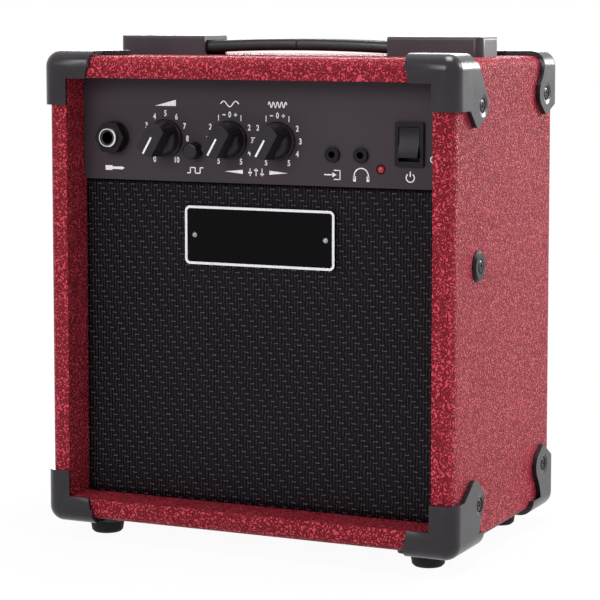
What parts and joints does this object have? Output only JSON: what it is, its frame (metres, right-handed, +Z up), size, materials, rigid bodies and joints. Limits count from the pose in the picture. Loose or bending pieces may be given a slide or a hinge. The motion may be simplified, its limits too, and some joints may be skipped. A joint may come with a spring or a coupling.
{
  "type": "guitar amplifier",
  "caption": "Small combo guitar amplifier: red vinyl cabinet, dark corner guards, set-back grille, knobs and jacks on a front panel, strap handle, loudspeaker in a half-open back.",
  "frame": {"origin": "centre of the bounding box at the floor, under the rubber feet", "axes": "+Z up, -Y out of the front panel, +X to the right as seen from the front"},
  "size_m": [0.2464, 0.1614, 0.2798],
  "materials": {
    "covered_board": "board covered in red grained vinyl",
    "raw_board": "raw MDF and pine",
    "back_board": "board covered in black vinyl",
    "grille_cloth": "woven speaker cloth",
    "guard_plastic": "moulded dark grey, satin",
    "black_plastic": "moulded black, satin",
    "knob_plastic": "moulded black, satin",
    "badge_plastic": "gloss black with a white edge",
    "foot_rubber": "matte black",
    "strap_rubber": "satin black",
    "panel_paint": "satin dark grey",
    "black_steel": "black oxide",
    "steel": "zinc plated",
    "nickel": "bright nickel",
    "aluminium": "extruded",
    "core_iron": "varnished laminations",
    "coil_tape": "taped winding",
    "board_green": "soldermask",
    "component": "sleeved",
    "lamp_red": "clear red",
    "magnet": "ferrite between steel plates",
    "basket_paint": "black pressed steel",
    "cone_paper": "pressed pulp",
    "surround_cloth": "treated cloth",
    "spider_cloth": "treated cloth"
  },
  "bodies": {
    "cabinet": {"top_board": "covered_board", "bottom_board": "covered_board", "side_board_left": "covered_board", "side_board_right": "covered_board", "baffle_board": "raw_board", "cabinet_battens": "raw_board", "grille_cloth": "grille_cloth", "badge_plate": "badge_plastic", "control_panel": "panel_paint", "chassis_tray": "steel", "corner_guard_front_left_top": "guard_plastic", "corner_guard_front_left_bottom": "guard_plastic", "corner_guard_front_right_top": "guard_plastic", "corner_guard_front_right_bottom": "guard_plastic", "corner_guard_rear_left_top": "guard_plastic", "corner_guard_rear_left_bottom": "guard_plastic", "corner_guard_rear_right_top": "guard_plastic", "corner_guard_rear_right_bottom": "guard_plastic", "cup_washers": "black_steel", "cabinet_screws": "black_steel", "rubber_feet": "foot_rubber", "handle_cap_left": "guard_plastic", "handle_cap_right": "guard_plastic", "handle_strap_end_left": "strap_rubber", "handle_strap_end_right": "strap_rubber", "input_jack_body": "black_plastic", "input_jack_bushing": "nickel", "input_jack_nut": "black_plastic", "potentiometers": "steel", "pot_nuts": "steel", "drive_switch": "black_plastic", "aux_jack": "black_plastic", "headphone_jack": "black_plastic", "power_light": "lamp_red", "rocker_switch_frame": "black_plastic", "circuit_board": "board_green", "board_parts": "component", "heat_sink": "aluminium", "transformer_core": "core_iron", "transformer_coil": "coil_tape", "back_panel_upper": "back_board", "back_panel_lower": "back_board", "mains_inlet": "black_plastic", "speaker_basket": "basket_paint", "speaker_magnet": "magnet", "speaker_surround": "surround_cloth", "speaker_spider": "spider_cloth", "machine_screws": "steel"},
    "volume_dial": {"volume_knob": "knob_plastic", "volume_shaft": "steel"},
    "bass_dial": {"bass_knob": "knob_plastic", "bass_shaft": "steel"},
    "treble_dial": {"treble_knob": "knob_plastic", "treble_shaft": "steel"},
    "drive_key": {"drive_button": "knob_plastic"},
    "rocker": {"power_rocker": "black_plastic"},
    "cone": {"speaker_cone": "cone_paper", "dust_cap": "cone_paper"},
    "grip": {"handle_grip": "strap_rubber"}
  },
  "joints": [
    {"name": "volume_turn", "type": "hinge", "parent": "cabinet", "child": "volume_dial", "pos_m": [-0.0566, -0.068, 0.2239], "axis": [0, 1, 0], "range_deg": [0, 300]},
    {"name": "bass_turn", "type": "hinge", "parent": "cabinet", "child": "bass_dial", "pos_m": [-0.0171, -0.068, 0.2239], "axis": [0, 1, 0], "range_deg": [0, 300]},
    {"name": "treble_turn", "type": "hinge", "parent": "cabinet", "child": "treble_dial", "pos_m": [0.0116, -0.068, 0.2239], "axis": [0, 1, 0], "range_deg": [0, 300]},
    {"name": "drive_press", "type": "slide", "parent": "cabinet", "child": "drive_key", "axis": [0, 1, 0], "range_m": [0, 0.0025], "stiffness_N_per_m": 200},
    {"name": "power_rock", "type": "hinge", "parent": "cabinet", "child": "rocker", "pos_m": [0.0887, -0.05827, 0.2241], "axis": [1, 0, 0], "range_deg": [0, 24]},
    {"name": "cone_travel", "type": "slide", "parent": "cabinet", "child": "cone", "axis": [0, 1, 0], "range_m": [-0.002, 0.002], "stiffness_N_per_m": 800, "deforming": ["speaker_surround", "speaker_spider"]},
    {"name": "handle_lift", "type": "slide", "parent": "cabinet", "child": "grip", "axis": [0, 0, 1], "range_m": [0, 0.014], "deforming": ["handle_strap_end_left", "handle_strap_end_right"]}
  ]
}
